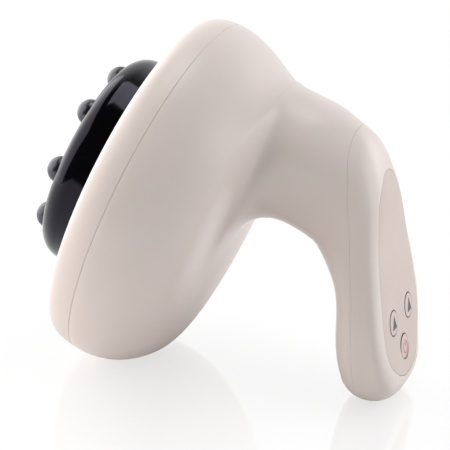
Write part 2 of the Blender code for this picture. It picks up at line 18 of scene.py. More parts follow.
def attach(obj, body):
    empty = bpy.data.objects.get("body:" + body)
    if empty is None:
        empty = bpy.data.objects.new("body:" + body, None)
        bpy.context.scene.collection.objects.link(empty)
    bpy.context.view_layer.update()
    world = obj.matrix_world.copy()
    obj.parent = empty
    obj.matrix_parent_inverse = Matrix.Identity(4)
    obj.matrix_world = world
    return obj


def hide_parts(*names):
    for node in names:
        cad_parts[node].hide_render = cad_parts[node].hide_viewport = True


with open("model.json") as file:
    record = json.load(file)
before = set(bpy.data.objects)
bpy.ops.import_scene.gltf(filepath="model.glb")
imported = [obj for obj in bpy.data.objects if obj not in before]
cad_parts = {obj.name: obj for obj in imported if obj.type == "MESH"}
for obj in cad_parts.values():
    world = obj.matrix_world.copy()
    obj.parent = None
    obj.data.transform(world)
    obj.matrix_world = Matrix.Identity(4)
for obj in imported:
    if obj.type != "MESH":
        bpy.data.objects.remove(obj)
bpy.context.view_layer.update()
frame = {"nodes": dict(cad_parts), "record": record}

MM = 0.001

# %% [markdown]
# ## Two leaning frames
#
# Nothing on this object is square to the floor. The head is turned round an axis that leans down to the
# back, and the handle is drawn on the flat of its key panel, which leans a little too. So each has a
# frame of its own, a point and three directions. Points are worked out there in millimetres and then
# placed. The values of the frames repeat the ones in the part's source.

# %% Frames of the head and of the panel
HEAD_LEAN = math.radians(19.24)
PANEL_LEAN = math.radians(9.01)
HEAD_CENTRE = np.array([-35.58, 0, 62.52])
PANEL_CENTRE = HEAD_CENTRE + np.array([95.04, 0, -33.78])

# Each row is a direction: up the face, across, out of the face
HEAD = np.array([[math.sin(HEAD_LEAN), 0, math.cos(HEAD_LEAN)],
                 [0, 1, 0],
                 [-math.cos(HEAD_LEAN), 0, math.sin(HEAD_LEAN)]])
# Each row is a direction: out of the panel, across, up the handle
PANEL = np.array([[math.cos(PANEL_LEAN), 0, math.sin(PANEL_LEAN)],
                  [0, 1, 0],
                  [-math.sin(PANEL_LEAN), 0, math.cos(PANEL_LEAN)]])


def on_head(points):
    """Object points in mm of points (up, across, out) in the head's frame."""
    return np.asarray(points) @ HEAD + HEAD_CENTRE


def on_panel(points):
    """Object points in mm of points (out, across, up) in the panel's frame."""
    return np.asarray(points) @ PANEL + PANEL_CENTRE


def head_side(up, depth):
    """Side view (x, z) of points in the head's middle plane, at a depth behind the face."""
    return on_head(np.column_stack([up, np.zeros(len(up)), -depth]))[:, [0, 2]]


def panel_side(out, up):
    """Side view (x, z) of points in the handle's middle plane."""
    return on_panel(np.column_stack([out, np.zeros(len(out)), up]))[:, [0, 2]]


print("panel centre in mm", PANEL_CENTRE.round(2).tolist())

# %% [markdown]
# ## From an array of points to a mesh
#
# Every surface below is a function of two parameters, read on a grid. One helper turns such a grid into
# a mesh: it joins each point with its neighbours in both directions, closes the seam where a direction
# runs round, and merges the points of a pole into one.

# %% Grid to mesh
MERGE_DISTANCE = 0.0005
shown = bpy.data.collections.new("massager_looks")
bpy.context.scene.collection.children.link(shown)


def grid_faces(rows, columns, wrap_rows=False, wrap_columns=False):
    """Corner numbers of the quads between neighbouring points of a grid."""
    i = np.arange(rows if wrap_rows else rows - 1)[:, None]
    j = np.arange(columns if wrap_columns else columns - 1)[None, :]
    down, right = (i + 1) % rows, (j + 1) % columns
    corners = [i * columns + j, i * columns + right, down * columns + right, down * columns + j]
    return np.stack(np.broadcast_arrays(*corners), -1).reshape(-1, 4).tolist()


def mesh_object(name, points, faces, closed=True):
    """An object from points in mm and faces. Its place stays in its mesh."""
    mesh = bpy.data.meshes.new(name)
    mesh.from_pydata((np.asarray(points).reshape(-1, 3) * MM).tolist(), [], faces)
    merged = bmesh.new()
    merged.from_mesh(mesh)
    bmesh.ops.remove_doubles(merged, verts=merged.verts, dist=MERGE_DISTANCE * MM)
    bmesh.ops.recalc_face_normals(merged, faces=merged.faces)
    if closed and merged.calc_volume(signed=True) < 0:
        bmesh.ops.reverse_faces(merged, faces=merged.faces)
    merged.to_mesh(mesh)
    merged.free()
    obj = bpy.data.objects.new(name, mesh)
    shown.objects.link(obj)
    return obj


# %% Wall, soft edges and cuts
EDGE_STEPS = 3
EDGE_ANGLE = 50


def solidify(obj, thickness):
    """A wall of this thickness, in mm, behind an open surface."""
    step = obj.modifiers.new("Wall", "SOLIDIFY")
    step.thickness = thickness * MM
    step.offset = -1
    step.use_even_offset = True


def soften(obj, width):
    """Rounds the edges that are sharper than the edge angle, by a width in mm."""
    step = obj.modifiers.new("Soft edges", "BEVEL")
    step.width = width * MM
    step.segments = EDGE_STEPS
    step.limit_method = "ANGLE"
    step.angle_limit = math.radians(EDGE_ANGLE)


def cut(obj, *cutters):
    """Takes the cutters out of the object."""
    for cutter in cutters:
        step = obj.modifiers.new("Cut", "BOOLEAN")
        step.object = cutter
        step.solver = "EXACT"


def settled(obj, *cutters, sharp=35):
    """Puts the modifiers into the mesh, shades it smooth up to an angle, and drops the cutters."""
    graph = bpy.context.evaluated_depsgraph_get()
    mesh = bpy.data.meshes.new_from_object(obj.evaluated_get(graph))
    obj.modifiers.clear()
    obj.data = mesh
    mesh.name = obj.name
    mesh.shade_smooth()
    mesh.set_sharp_from_angle(angle=math.radians(sharp))
    for cutter in cutters:
        bpy.data.objects.remove(cutter)
    print(obj.name, len(mesh.polygons), "faces")
    return obj


# %% [markdown]
# ## Smooth curves through a few measured rows
#
# A designer gives a shell by a handful of sections. A cubic spline, the curve that a thin springy batten
# takes when it is held at those places, runs through all of them with no kink in its curvature. That
# matters here: a satin shell shows each kink as a broken highlight.

# %% Spline through rows
def spline(rows, knots, at):
    """Natural cubic spline: the bends at the knots solve one linear system, and each stretch is the
    cubic that has those bends at its two ends. Reads every value of `at` together."""
    rows, at = np.asarray(rows, float), np.asarray(at, float)
    count, step = len(rows), np.diff(knots)
    system, right = np.eye(count), np.zeros_like(rows)
    i = np.arange(1, count - 1)
    system[i, i - 1], system[i, i], system[i, i + 1] = step[:-1], 2 * (step[:-1] + step[1:]), step[1:]
    right[1:-1] = 6 * np.diff(np.diff(rows, axis=0) / step[:, None], axis=0)
    bends = np.linalg.solve(system, right)
    k = np.clip(np.searchsorted(knots, at, side="right") - 1, 0, count - 2)
    b = (at - knots[k]) / step[k]
    a = 1 - b
    straight = a[:, None] * rows[k] + b[:, None] * rows[k + 1]
    bend = (a ** 3 - a)[:, None] * bends[k] + (b ** 3 - b)[:, None] * bends[k + 1]
    return straight + bend * (step[k] ** 2)[:, None] / 6


def knots_of(points):
    """A knot for each row, spaced by the square root of the distance between rows."""
    return np.concatenate([[0], np.cumsum(np.sqrt(np.linalg.norm(np.diff(points, axis=0), axis=1)))])


# %% [markdown]
# ## The shell: one body from dome to handle
#
# The rear of the head, the neck and the handle are moulded as one flowing form. It starts as the circle
# behind the bezel, draws in to a neck, turns over and runs down as a flat grip with a rounded end. Each
# row below is one section: where its outer and inner ends lie, how wide it is, how square its outer half
# is, and how far along it is widest. A section is a superellipse, |across|^q + |along|^q = 1, round on
# the inner side where the fingers close round it, and nearly flat on the outer side that carries the
# panel. A subdivided box could be pulled into this form by hand, but here each section keeps its size.

# %% Sections of the shell
# In the head's frame: depth and height of the outer end, depth and height of the inner end, half width,
# squareness, and the share of the way from the inner end at which the section is widest
NECK = [
    (10.86, 60.0, 10.86, -60.0, 60.0, 2.0, 0.50),
    (13.5, 59.8, 13.8, -60.2, 60.0, 2.0, 0.50),
    (21.3, 57.8, 21.6, -58.7, 58.4, 2.0, 0.50),
    (29.3, 54.3, 29.5, -54.1, 54.2, 2.0, 0.50),
    (35.0, 52.4, 36.1, -45.6, 46.8, 2.0, 0.50),
    (37.7, 53.0, 38.0, -32.8, 37.2, 2.0, 0.50),
    (40.0, 53.3, 37.6, -22.0, 29.0, 2.0, 0.50),
    (43.2, 53.4, 37.7, -14.6, 24.4, 2.1, 0.50),
    (48.3, 53.2, 39.0, -6.5, 22.6, 2.2, 0.50),
    (55.6, 53.0, 42.3, 4.0, 20.6, 2.2, 0.50),
    (63.9, 51.2, 48.2, 9.6, 18.6, 2.2, 0.50),
    (71.2, 48.0, 54.0, 11.0, 17.2, 2.6, 0.52),
]
# In the panel's frame: height and stand off the panel's plane of the outer end, thickness, half width,
# squareness, the same share, and how far the inner end lies below the outer one
GRIP = [
    (42.0, 0.15, 27.65, 17.8, 3.4, 0.58, 14.0),
    (28.0, -0.25, 22.8, 21.0, 5.0, 0.60, 3.0),
    (14.0, -0.3, 17.9, 24.0, 6.5, 0.60, 0.0),
    (0.0, 0.0, 18.7, 26.1, 7.0, 0.60, 0.0),
    (-11.0, 0.25, 20.2, 23.5, 6.0, 0.60, 0.0),
    (-18.0, 1.0, 21.1, 20.2, 4.6, 0.56, 0.0),
]

out_depth, out_up, in_depth, in_up, *neck_form = np.array(NECK).T
neck = [head_side(out_up, out_depth), head_side(in_up, in_depth), *neck_form]
height, stand, thickness, *grip_form, drop = np.array(GRIP).T
grip = [panel_side(stand, height), panel_side(stand - thickness, height - drop), *grip_form]
sections = np.vstack([np.column_stack(neck), np.column_stack(grip)])
section_knots = knots_of(sections[:, :4] / 2)
print("sections", len(sections), "length along the shell", section_knots[-1].round(1))

# %% Any section along the shell, and the points on it
# A squareness of 2 is an ellipse. The inner side keeps this share of what its outer side has above that
INNER_SQUARE = 0.13
# The end: its length, the powers by which its thickness and width close, how much the width tapers, the
# squareness it ends with, and the place before it that gives its direction
END_LENGTH = 9.06
END_POWER = 0.72
END_WIDTH_POWER = 0.5
END_TAPER = 0.17
END_SQUARE = 2.2
BEFORE_END = 0.985


def section_rows(at):
    """Rows of outer x, z, inner x, z, half width, squareness, widest share. From 0 to 1 they run along
    the spline, and from 1 to 2 they close the end: the section shrinks by a power of a cosine while its
    middle runs on by a sine. Its width also tapers on from the start, so that the sides have no kink."""
    at = np.asarray(at, float)
    rows = spline(sections, section_knots, np.clip(at, 0, 1) * section_knots[-1])
    last, before = spline(sections, section_knots, section_knots[-1] * np.array([1, BEFORE_END]))
    middle = (last[:2] + last[2:4]) / 2
    ahead = middle - (before[:2] + before[2:4]) / 2
    ahead /= np.linalg.norm(ahead)
    turn = (np.clip(at, 1, 2) - 1)[:, None] * math.pi / 2
    shrink, run = np.maximum(np.cos(turn), 0), np.sin(turn)
    centre = middle + ahead * END_LENGTH * run
    arm = (last[:2] - last[2:4]) / 2 * shrink ** END_POWER
    half = last[4] * shrink ** END_WIDTH_POWER * (1 - END_TAPER * run)
    square = last[5] + (END_SQUARE - last[5]) * run
    end = np.hstack([centre + arm, centre - arm, half, square, np.full_like(square, last[6])])
    return np.where(at[:, None] > 1, end, rows)


def inner_squareness(square):
    """Squareness of the inner side of a section whose outer side has this one."""
    return 2 + (square - 2) * INNER_SQUARE


def ring_points(rows, turn):
    """Points of each section at its turns, which run from 0 at the outer end to pi at the inner end.
    With q for squareness, a point lies half width * sin(turn)^(2/q) across, and cos(turn)^(2/q) of the
    way from the widest place to that end."""
    half, square, widest = (rows[:, k, None] for k in (4, 5, 6))
    across, along = np.sin(turn), np.cos(turn)
    power = 2 / np.where(along > 0, square, inner_squareness(square))
    share = widest + np.where(along > 0, 1 - widest, widest) * np.sign(along) * np.abs(along) ** power
    side = np.sign(across) * np.abs(across) ** power * half
    flat = rows[:, None, 2:4] + share[..., None] * (rows[:, None, :2] - rows[:, None, 2:4])
    return np.stack([flat[..., 0], side, flat[..., 1]], -1)


def even_ring(rows, start, end, columns, fine=1500):
    """The stretch of each section between two turns, with its points spread evenly by arc length."""
    turn = start[:, None] + (end - start)[:, None] * np.linspace(0, 1, fine)
    points = ring_points(rows, turn)
    steps = np.linalg.norm(np.diff(points, axis=1), axis=2)
    length = np.concatenate([np.zeros((len(rows), 1)), np.cumsum(steps, axis=1)], axis=1)
    share = np.linspace(0, 1, columns)
    spread = [[np.interp(share * run[-1], run, ring[:, k]) for k in range(3)]
              for run, ring in zip(length, points)]
    return np.array(spread).transpose(0, 2, 1)


# %% [markdown]
# ## The parting line
#
# A closed shell can't leave a mould, so it is made as two: a housing with the dome, and a cover for the
# outer side of neck and handle. In side view their joint is one curve. Where it crosses a section, it
# fixes a turn on the superellipse, and each half is simply the grid on its own side of that turn. So
# both edges follow the same curve and leave an even gap, with no Boolean.

# %% Where the parting line crosses each section
# Depth behind the face and height, in the head's frame
SPLIT = np.array([
    (60.0, 66.0), (62.3, 55.8), (63.6, 51.3), (64.8, 47.7), (67.6, 42.1), (70.6, 36.4), (74.1, 29.3),
    (78.4, 22.3), (83.0, 14.0), (87.9, 5.2), (94.0, -8.9), (97.7, -19.0), (100.4, -29.0),
    (101.8, -45.6)])
SPLIT_STEPS = 600
NOT_CROSSED = 9.0
TINY = 1e-9
split_side = head_side(SPLIT[:, 1], SPLIT[:, 0])
split_knots = knots_of(split_side)
split_line = spline(split_side, split_knots, np.linspace(0, split_knots[-1], SPLIT_STEPS))


def split_share(rows, shift):
    """Share of each section, from its inner to its outer end, at which the line crosses it. The line is
    moved sideways by the shift, towards the cover. A section that it doesn't cross gets a share that
    lies beyond its outer end."""
    along = np.gradient(split_line, axis=0)
    along /= np.linalg.norm(along, axis=1)[:, None]
    line = split_line + shift * np.column_stack([-along[:, 1], along[:, 0]])
    inner, span = rows[:, 2:4], rows[:, :2] - rows[:, 2:4]
    gap = line[None] - inner[:, None]
    aside = span[:, None, 0] * gap[..., 1] - span[:, None, 1] * gap[..., 0]
    change = np.sign(aside[:, 1:]) != np.sign(aside[:, :-1])
    crossed = change.any(1)
    k = np.where(crossed, change.argmax(1), 0)
    n = np.arange(len(rows))
    part = aside[n, k] / np.where(crossed, aside[n, k] - aside[n, k + 1], 1)
    spot = gap[n, k] + part[:, None] * (gap[n, k + 1] - gap[n, k])
    share = (spot * span).sum(1) / np.maximum((span ** 2).sum(1), TINY)
    return np.where(crossed, share, NOT_CROSSED)


def split_turn(rows, share):
    """The turn on each section's superellipse that lies at this share: the inverse of ring_points."""
    square, widest = rows[:, 5], rows[:, 6]
    share = np.clip(share, 0, 1)
    up = np.clip((share - widest) / (1 - widest), 0, 1) ** (square / 2)
    down = np.clip((widest - share) / widest, 0, 1) ** (inner_squareness(square) / 2)
    return np.arccos(np.where(share > widest, up, -down))


# %% Housing and cover
WALL = 2.2
SEAM = 0.05
SEAM_EDGE = 0.22
END_ROWS = 22
# Places along the shell among which the start of the line is found, and the power that draws the rows
# together after it
SCAN = np.linspace(0.3, 1, 4000)
CROWDING = 1.7


def half_shell(name, shift, cover, before, after, columns):
    """Grid of the housing or the cover, with rows before and after the place where the line starts.
    They lie closer together after that place and towards the end."""
    first = SCAN[(split_share(section_rows(SCAN), shift) < 1).argmax()]
    at = np.concatenate([np.linspace(0, first, before, endpoint=False),
                         first + (1 - first) * np.linspace(0, 1, after) ** CROWDING,
                         1 + np.sin(np.linspace(0, 1, END_ROWS + 1)[1:] * math.pi / 2)])
    rows = section_rows(at)
    share = split_share(section_rows(np.clip(at, 0, 1)), shift)
    turn = split_turn(rows, np.where(at <= first, 1.0, share))
    ends = (-turn, turn) if cover else (turn, 2 * math.pi - turn)
    points = even_ring(rows, *ends, columns)
    half = mesh_object(name, points, grid_faces(len(at), columns), closed=False)
    solidify(half, WALL)
    soften(half, SEAM_EDGE)
    print(name, "grid", points.shape[:2])
    return half, points


housing = half_shell("shell_housing", -SEAM / 2, cover=False, before=64, after=84, columns=132)[0]
cover, cover_grid = half_shell("shell_cover", SEAM / 2, cover=True, before=0, after=96, columns=84)

# %% [markdown]
# ## The key panel
#
# A thin matt panel is let into the outer face of the handle. It follows the shell's own surface, so its
# height over the panel's plane is read from the cover's grid. Its outline is a closed spline, narrow at
# the top and full round the keys. The same function, grown by a hair and made deeper, is the pocket that
# it lies in. A knife cut in the cover would draw the same line, but a piece of its own has an edge.

# %% Outline of the panel, and height of the cover
# One half of the outline, as height up the handle and width from the middle
HALF_OUTLINE = np.array([
    (48.5, 2.4), (47.1, 5.4), (44.4, 8.3), (40.0, 11.8), (30.0, 15.2), (20.0, 17.5), (10.0, 19.2),
    (0.0, 19.8), (-7.2, 18.6), (-12.8, 15.6), (-17.0, 10.8), (-19.5, 4.6)])
OUTLINE_STEPS = 240
LAP = 4
SEAM_COLUMNS = 3
PANEL_REACH = 3

# The spline runs past its start by a few points at both ends, so that it closes with no kink
outline = np.vstack([HALF_OUTLINE, HALF_OUTLINE[::-1] * [1, -1]])
wrapped = np.vstack([outline[-LAP:], outline, outline[:LAP + 1]])
wrapped_knots = knots_of(wrapped)
lap = np.linspace(wrapped_knots[LAP], wrapped_knots[-LAP - 1], OUTLINE_STEPS + 1)[:-1]
outline = spline(wrapped, wrapped_knots, lap)

# The cover's grid in the panel's frame, without its edges and without the rows far behind the panel
cover_flat = (cover_grid[:, SEAM_COLUMNS:-SEAM_COLUMNS] - PANEL_CENTRE) @ PANEL.T
cover_flat = cover_flat[cover_flat[:, :, 0].max(1) > -PANEL_REACH]


def face_height(up, across):
    """Height of the cover over the panel's plane: between two points of each row, then between two
    rows."""
    out = np.array([np.interp(across, row[:, 1], row[:, 0]) for row in cover_flat])
    rise = np.array([np.interp(across, row[:, 1], row[:, 2]) for row in cover_flat])
    k = np.clip((rise > up).sum(0) - 1, 0, len(cover_flat) - 2)
    n = np.arange(len(up))
    part = np.clip((rise[k, n] - up) / (rise[k, n] - rise[k + 1, n]), 0, 1)
    return out[k, n] + part * (out[k + 1, n] - out[k, n])


# %% A lens that follows the cover
PANEL_MIDDLE = np.array([10.0, 0.0])
INNER_RINGS = np.array([0, 0.1, 0.2, 0.3, 0.4, 0.5, 0.6, 0.7, 0.8, 0.88, 0.94])
# Distances from the rim in parts of the edge's width, on a ray of the usual length in mm
EDGE_RINGS = np.array([0.9, 0.6, 0.35, 0.15, 0])
USUAL_RAY = 15
LEAST_EDGE = 0.02


def panel_solid(name, grow, top, bottom, edge=0.0):
    """A lens between two heights over the cover's face, on rays from its middle to the outline, which
    is grown outwards. The top edge falls away as a quarter circle."""
    aside = np.roll(outline, -1, axis=0) - np.roll(outline, 1, axis=0)
    aside = np.column_stack([aside[:, 1], -aside[:, 0]]) / np.linalg.norm(aside, axis=1)[:, None]
    aside *= np.sign(((outline - PANEL_MIDDLE) * aside).sum(1))[:, None]
    rim = outline + grow * aside
    share = np.concatenate([INNER_RINGS, 1 - EDGE_RINGS * max(edge, LEAST_EDGE) / USUAL_RAY])
    spots = PANEL_MIDDLE + share[:, None, None] * (rim - PANEL_MIDDLE)
    height = face_height(*spots.reshape(-1, 2).T).reshape(spots.shape[:2])
    inside = np.clip((1 - share)[:, None] * np.linalg.norm(rim - PANEL_MIDDLE, axis=1), 0, edge)
    fall = edge - np.sqrt(np.maximum(edge ** 2 - (edge - inside) ** 2, 0))
    upper = np.stack([height + top - fall, spots[..., 1], spots[..., 0]], -1)
    lower = np.stack([height + bottom, spots[..., 1], spots[..., 0]], -1)[::-1]
    points = on_panel(np.vstack([upper, lower]))
    return mesh_object(name, points, grid_faces(len(points), len(outline), wrap_columns=True))


# %% [markdown]
# ## Turned pieces
#
# A turned piece is a profile carried round an axis, as Blender's Spin tool does it by hand. The head's
# pieces turn about a line out of its face, and the keys and their holes about lines out of the panel.

# %% Surfaces of revolution
def head_place(points, spot):
    """The turning axis runs out of the face, through a spot (up, across, out)."""
    return on_head(points + np.asarray(spot))


def panel_place(points, spot):
    """The turning axis runs out of the panel, through a spot (across, up, out)."""
    across, up, out = spot
    return on_panel(np.stack([points[..., 2] + out, points[..., 0] + across, points[..., 1] + up], -1))


def revolve(name, profile, spot, place, steps, closed=True):
    """A profile of (radius, height) turned round an axis: radius times cosine and sine, at its height.
    An open profile starts and ends on the axis. `place` puts the points into the object's frame."""
    profile = np.asarray(profile, float)
    turn = np.linspace(0, 2 * math.pi, steps, endpoint=False)
    radius, height = profile[:, 0, None], np.broadcast_to(profile[:, 1, None], (len(profile), steps))
    points = place(np.stack([radius * np.cos(turn), radius * np.sin(turn), height], -1), spot)
    faces = grid_faces(len(profile), steps, wrap_rows=closed, wrap_columns=True)
    return mesh_object(name, points, faces)


# %% Panel, its pocket and the key holes
KEY_RADIUS = 4.05
KEY_HOLE = 4.4
KEY_STEPS = 72
PANEL_DEPTH = 1.0
PANEL_EDGE = 0.25
POCKET_GROWTH = 0.10
POCKET_DEPTH = 1.15
POCKET_TOP = 1.0
DRILL = [(0, 3), (KEY_HOLE, 3), (KEY_HOLE, -6), (0, -6)]

# Each key's place is across, up and out, in the panel's frame
key_spots = np.array([(-8.97, 0.0), (8.97, 0.0), (0.0, -11.1)])
key_levels = face_height(key_spots[:, 1], key_spots[:, 0])
key_names = ("heat", "suction", "power")
KEYS = {key: (*spot, level) for key, spot, level in zip(key_names, key_spots, key_levels)}


def key_holes(name):
    """Three drills, one for each key."""
    return [revolve(f"{name}_{key}", DRILL, spot, panel_place, KEY_STEPS, closed=False)
            for key, spot in KEYS.items()]


panel = panel_solid("key_panel", 0, 0.0, -PANEL_DEPTH, edge=PANEL_EDGE)
drills = key_holes("panel_drill")
cut(panel, *drills)
settled(panel, *drills)
pocket = panel_solid("panel_pocket", POCKET_GROWTH, POCKET_TOP, -POCKET_DEPTH)
drills = key_holes("cover_drill")
cut(cover, pocket, *drills)
settled(cover, pocket, *drills)

# %% [markdown]
# ## Rounded profiles
#
# No moulded edge is truly sharp. Each profile below is given by its corners, each with a rounding, and a
# short quadratic curve takes the corner's place.

# %% Round the corners of a profile
LONGEST_CUT = 0.45


def rounded(table, steps, closed=True):
    """Rows are a corner's two values and its cut. The corner P becomes the curve (1-t)^2 A + 2t(1-t) P
    + t^2 B, where A and B lie on its two sides at the cut's distance, or less where a side is short."""
    table = np.array(table, float)
    corners, cuts = table[:, :2], table[:, 2]
    before, after = np.roll(corners, 1, axis=0) - corners, np.roll(corners, -1, axis=0) - corners
    if not closed:
        before[0], after[-1], cuts[0], cuts[-1] = 1, 1, 0, 0
    reach_a, reach_b = np.linalg.norm(before, axis=1), np.linalg.norm(after, axis=1)
    start = corners + before * np.minimum(cuts / reach_a, LONGEST_CUT)[:, None]
    end = corners + after * np.minimum(cuts / reach_b, LONGEST_CUT)[:, None]
    t = np.linspace(0, 1, steps)[:, None]
    curve = (1 - t) ** 2 * start[:, None] + 2 * t * (1 - t) * corners[:, None] + t ** 2 * end[:, None]
    return curve.reshape(-1, 2)


def arc(centre, radii, start, end, count):
    """Points of an elliptical arc, angles in degrees."""
    turn = np.radians(np.linspace(start, end, count))
    return np.column_stack([centre[0] + radii[0] * np.cos(turn), centre[1] + radii[1] * np.sin(turn)])


# %% [markdown]
# ## Bezel and cup
#
# The bezel is a turned ring whose front swells from the cup's edge out to the dome. The black cup stands
# out of it as a drum: a base ring, a straight side, a well rounded edge, a flat ring with eight seats,
# and the recess in the middle where the suction draws the skin in. Both are surfaces of revolution, so a
# profile is all they need. The seats are spheres, taken out of the cup where the balls sit.

# %% Bezel
HEAD_STEPS = 180
HEAD_RADIUS = 60.0
MOUTH = 52.8
BEZEL_DEPTH = 10.79
SWELL_POWER = 0.84
quarter = np.linspace(0, math.pi / 2, 60)[1:-1]
bezel_front = np.column_stack([MOUTH + (HEAD_RADIUS - MOUTH) * np.sin(quarter) ** SWELL_POWER,
                               -BEZEL_DEPTH * (1 - np.cos(quarter))])
# Radius, height over the face's plane, rounding
bezel_back = rounded([
    (HEAD_RADIUS, -BEZEL_DEPTH, 0.2),
    (56.0, -BEZEL_DEPTH, 0.1),
    (56.0, -13.0, 0.3),
    (54.1, -13.0, 0.3),
    (53.8, -2.4, 0.3),
    (MOUTH - 0.5, -2.4, 0.3),
    (MOUTH - 0.5, -0.1, 0.2)], 5)
bezel_profile = np.vstack([bezel_front, bezel_back])
bezel = settled(revolve("shell_bezel", bezel_profile, (0, 0, 0), head_place, HEAD_STEPS))

# %% Profile of the cup
CUP_HEIGHT = 15.7
CUP_SIDE = 36.7
CUP_LIP = 32.4
CUP_FOOT = 37.2
RECESS = 17.4
EDGE_RADII = (6.6, 7.26)
EDGE_CREST = 0.5
CORNER_STEPS = 7
edge_middle = (CUP_SIDE - EDGE_RADII[0], CUP_HEIGHT + EDGE_CREST - EDGE_RADII[1])
cup_edge = arc(edge_middle, EDGE_RADII, 66, 0, 24)
# Radius, height over the face's plane, rounding. The last row is the edge's own first point: it is there
# for the direction of its neighbours, and its points are dropped
cup_rest = rounded([
    (CUP_FOOT, -0.6, 3.0),
    (51.8, -0.6, 0.4),
    (51.8, -2.7, 0.1),
    (53.2, -2.7, 0.3),
    (53.2, -4.8, 0.3),
    (45.5, -4.8, 0.3),
    (45.1, -2.9, 0.3),
    (35.2, -2.9, 1.0),
    (34.3, 9.66, 0.5),
    (19.6, 9.66, 0.3),
    (19.6, 3.96, 0.3),
    (3.0, 3.96, 0.2),
    (3.0, 6.12, 0.2),
    (15.66, 6.12, 0.2),
    (15.66, 8.2, 0.2),
    (RECESS, 8.2, 0.2),
    (RECESS, CUP_HEIGHT, 1.3),
    (CUP_LIP, CUP_HEIGHT, 0.3),
    (*cup_edge[0], 0.0)], CORNER_STEPS)[:-CORNER_STEPS]
cup = revolve("suction_cup", np.vstack([cup_edge, cup_rest]), (0, 0, 0), head_place, HEAD_STEPS)

# %% Seats for the balls
BALL_COUNT = 8
BALL_RADIUS = 4.5
BALL_RING = 27.18
BALL_HEIGHT = 15.96
BALL_TWIST = math.radians(-3.5)
SEAT_GAP = 0.22
SEAT_STEPS = 48
# Angles from the ball's equator, in degrees, at which the seat's hole and the ball's neck begin
SEAT_END = -60
BALL_END = -66.4
ball_turns = 2 * math.pi * np.arange(BALL_COUNT) / BALL_COUNT + BALL_TWIST
ball_spots = np.column_stack([BALL_RING * np.cos(ball_turns), -BALL_RING * np.sin(ball_turns),
                              np.full(BALL_COUNT, BALL_HEIGHT)])
seat_ball = arc((0, 0), (BALL_RADIUS + SEAT_GAP,) * 2, 90, SEAT_END, 26)
seat_profile = np.vstack([seat_ball, [(2.1, -13), (0, -13)]])
seats = [revolve(f"ball_seat_{k + 1}", seat_profile, spot, head_place, SEAT_STEPS, closed=False)
         for k, spot in enumerate(ball_spots)]
cut(cup, *seats)
settled(cup, *seats, sharp=40)

# %% Balls, each on its own turning body
BALL_STEPS = 56
# Below the ball a neck leads through the seat to the flange that keeps it in: radius, height, rounding
ball_flange = rounded([(1.8, -6.6, 0.1), (2.88, -6.6, 0.2), (2.88, -7.4, 0.2), (0, -7.4, 0)], 4,
                      closed=False)
ball_profile = np.vstack([arc((0, 0), (BALL_RADIUS,) * 2, 90, BALL_END, 30), ball_flange])
balls = [revolve(f"steel_ball_{k + 1}", ball_profile, spot, head_place, BALL_STEPS, closed=False)
         for k, spot in enumerate(ball_spots)]
for ball in balls:
    settled(ball)

# %% [markdown]
# ## Grille in the recess
#
# At the bottom of the recess sits a small disc with seven holes. It keeps skin and oil off the filter.
# The holes are cut through and countersunk, not painted, because the felt behind has to show in them.

# %% Grille
GRILLE_RADIUS = 17.1
GRILLE_STEPS = 120
HOLE_RING = 9.6
HOLE_STEPS = 48
grille_profile = rounded([
    (0, 9.7, 0),
    (GRILLE_RADIUS, 9.7, 0.35),
    (GRILLE_RADIUS, 8.5, 0.2),
    (0, 8.5, 0)], 6, closed=False)
grille = revolve("recess_grille", grille_profile, (0, 0, 0), head_place, GRILLE_STEPS, closed=False)
hole_turns = np.arange(6) * math.pi / 3
hole_ring = HOLE_RING * np.column_stack([np.cos(hole_turns), np.sin(hole_turns), np.zeros(6)])
hole_profile = [(0, 12), (4.4, 12), (2.44, 9.5), (2.44, 6), (0, 6)]
holes = [revolve(f"grille_drill_{k}", hole_profile, spot, head_place, HOLE_STEPS, closed=False)
         for k, spot in enumerate(np.vstack([np.zeros(3), hole_ring]))]
cut(grille, *holes)
settled(grille, *holes)

# %% [markdown]
# ## Keys and their signs
#
# Three round keys lie nearly flush in the panel. Each is a turned cap with a flange that stops it under
# the cover. A thin near-black rubber skirt fills the gap round each key. It is painted shade, darker
# than the gap's own shade, and it draws the key's dark ring. The signs are thin layers of ink: a
# triangle for more heat or suction, and the ring and bar that stand for power.
# As thin solids they keep a clean edge from any distance, and they sink with the key they ride on.

# %% Key caps
KEY_TOP = 0.14
SKIRT_TOP = 0.06
SKIRT_INSIDE = KEY_RADIUS - 0.02
SKIRT_OUTSIDE = KEY_RADIUS + 0.17
# Radius, height over the cover, rounding
cap_profile = rounded([
    (0, KEY_TOP, 0),
    (KEY_RADIUS, KEY_TOP, 0.3),
    (KEY_RADIUS, -3.1, 0.1),
    (5.4, -3.1, 0.2),
    (5.4, -3.8, 0.2),
    (1.5, -3.8, 0.2),
    (1.5, -4.8, 0.2),
    (0, -4.8, 0)], 6, closed=False)
# The skirt is painted shade: a near-black ring in the gap round the key that draws the key's dark ring
shade_skirt_profile = rounded([
    (SKIRT_INSIDE, SKIRT_TOP, 0.02),
    (SKIRT_OUTSIDE, SKIRT_TOP, 0.06),
    (SKIRT_OUTSIDE, -2.9, 0.02),
    (SKIRT_INSIDE, -2.9, 0.02)], 4)
caps, shade_skirts = {}, {}
for key, spot in KEYS.items():
    cap = revolve(f"key_cap_{key}", cap_profile, spot, panel_place, KEY_STEPS, closed=False)
    caps[key] = settled(cap)
    shade_skirts[key] = settled(revolve(f"key_shade_skirt_{key}", shade_skirt_profile, spot, panel_place, KEY_STEPS))

# %% Ink signs
INK_SINK = 0.02
INK_TOP = 0.05
SIGN_MIDDLE = np.array([0.6, -0.4])
RING_OUTSIDE, RING_INSIDE = 2.3, 1.85
# Degrees between which the power sign's ring runs, open at the top
RING_ENDS = (125, 415)


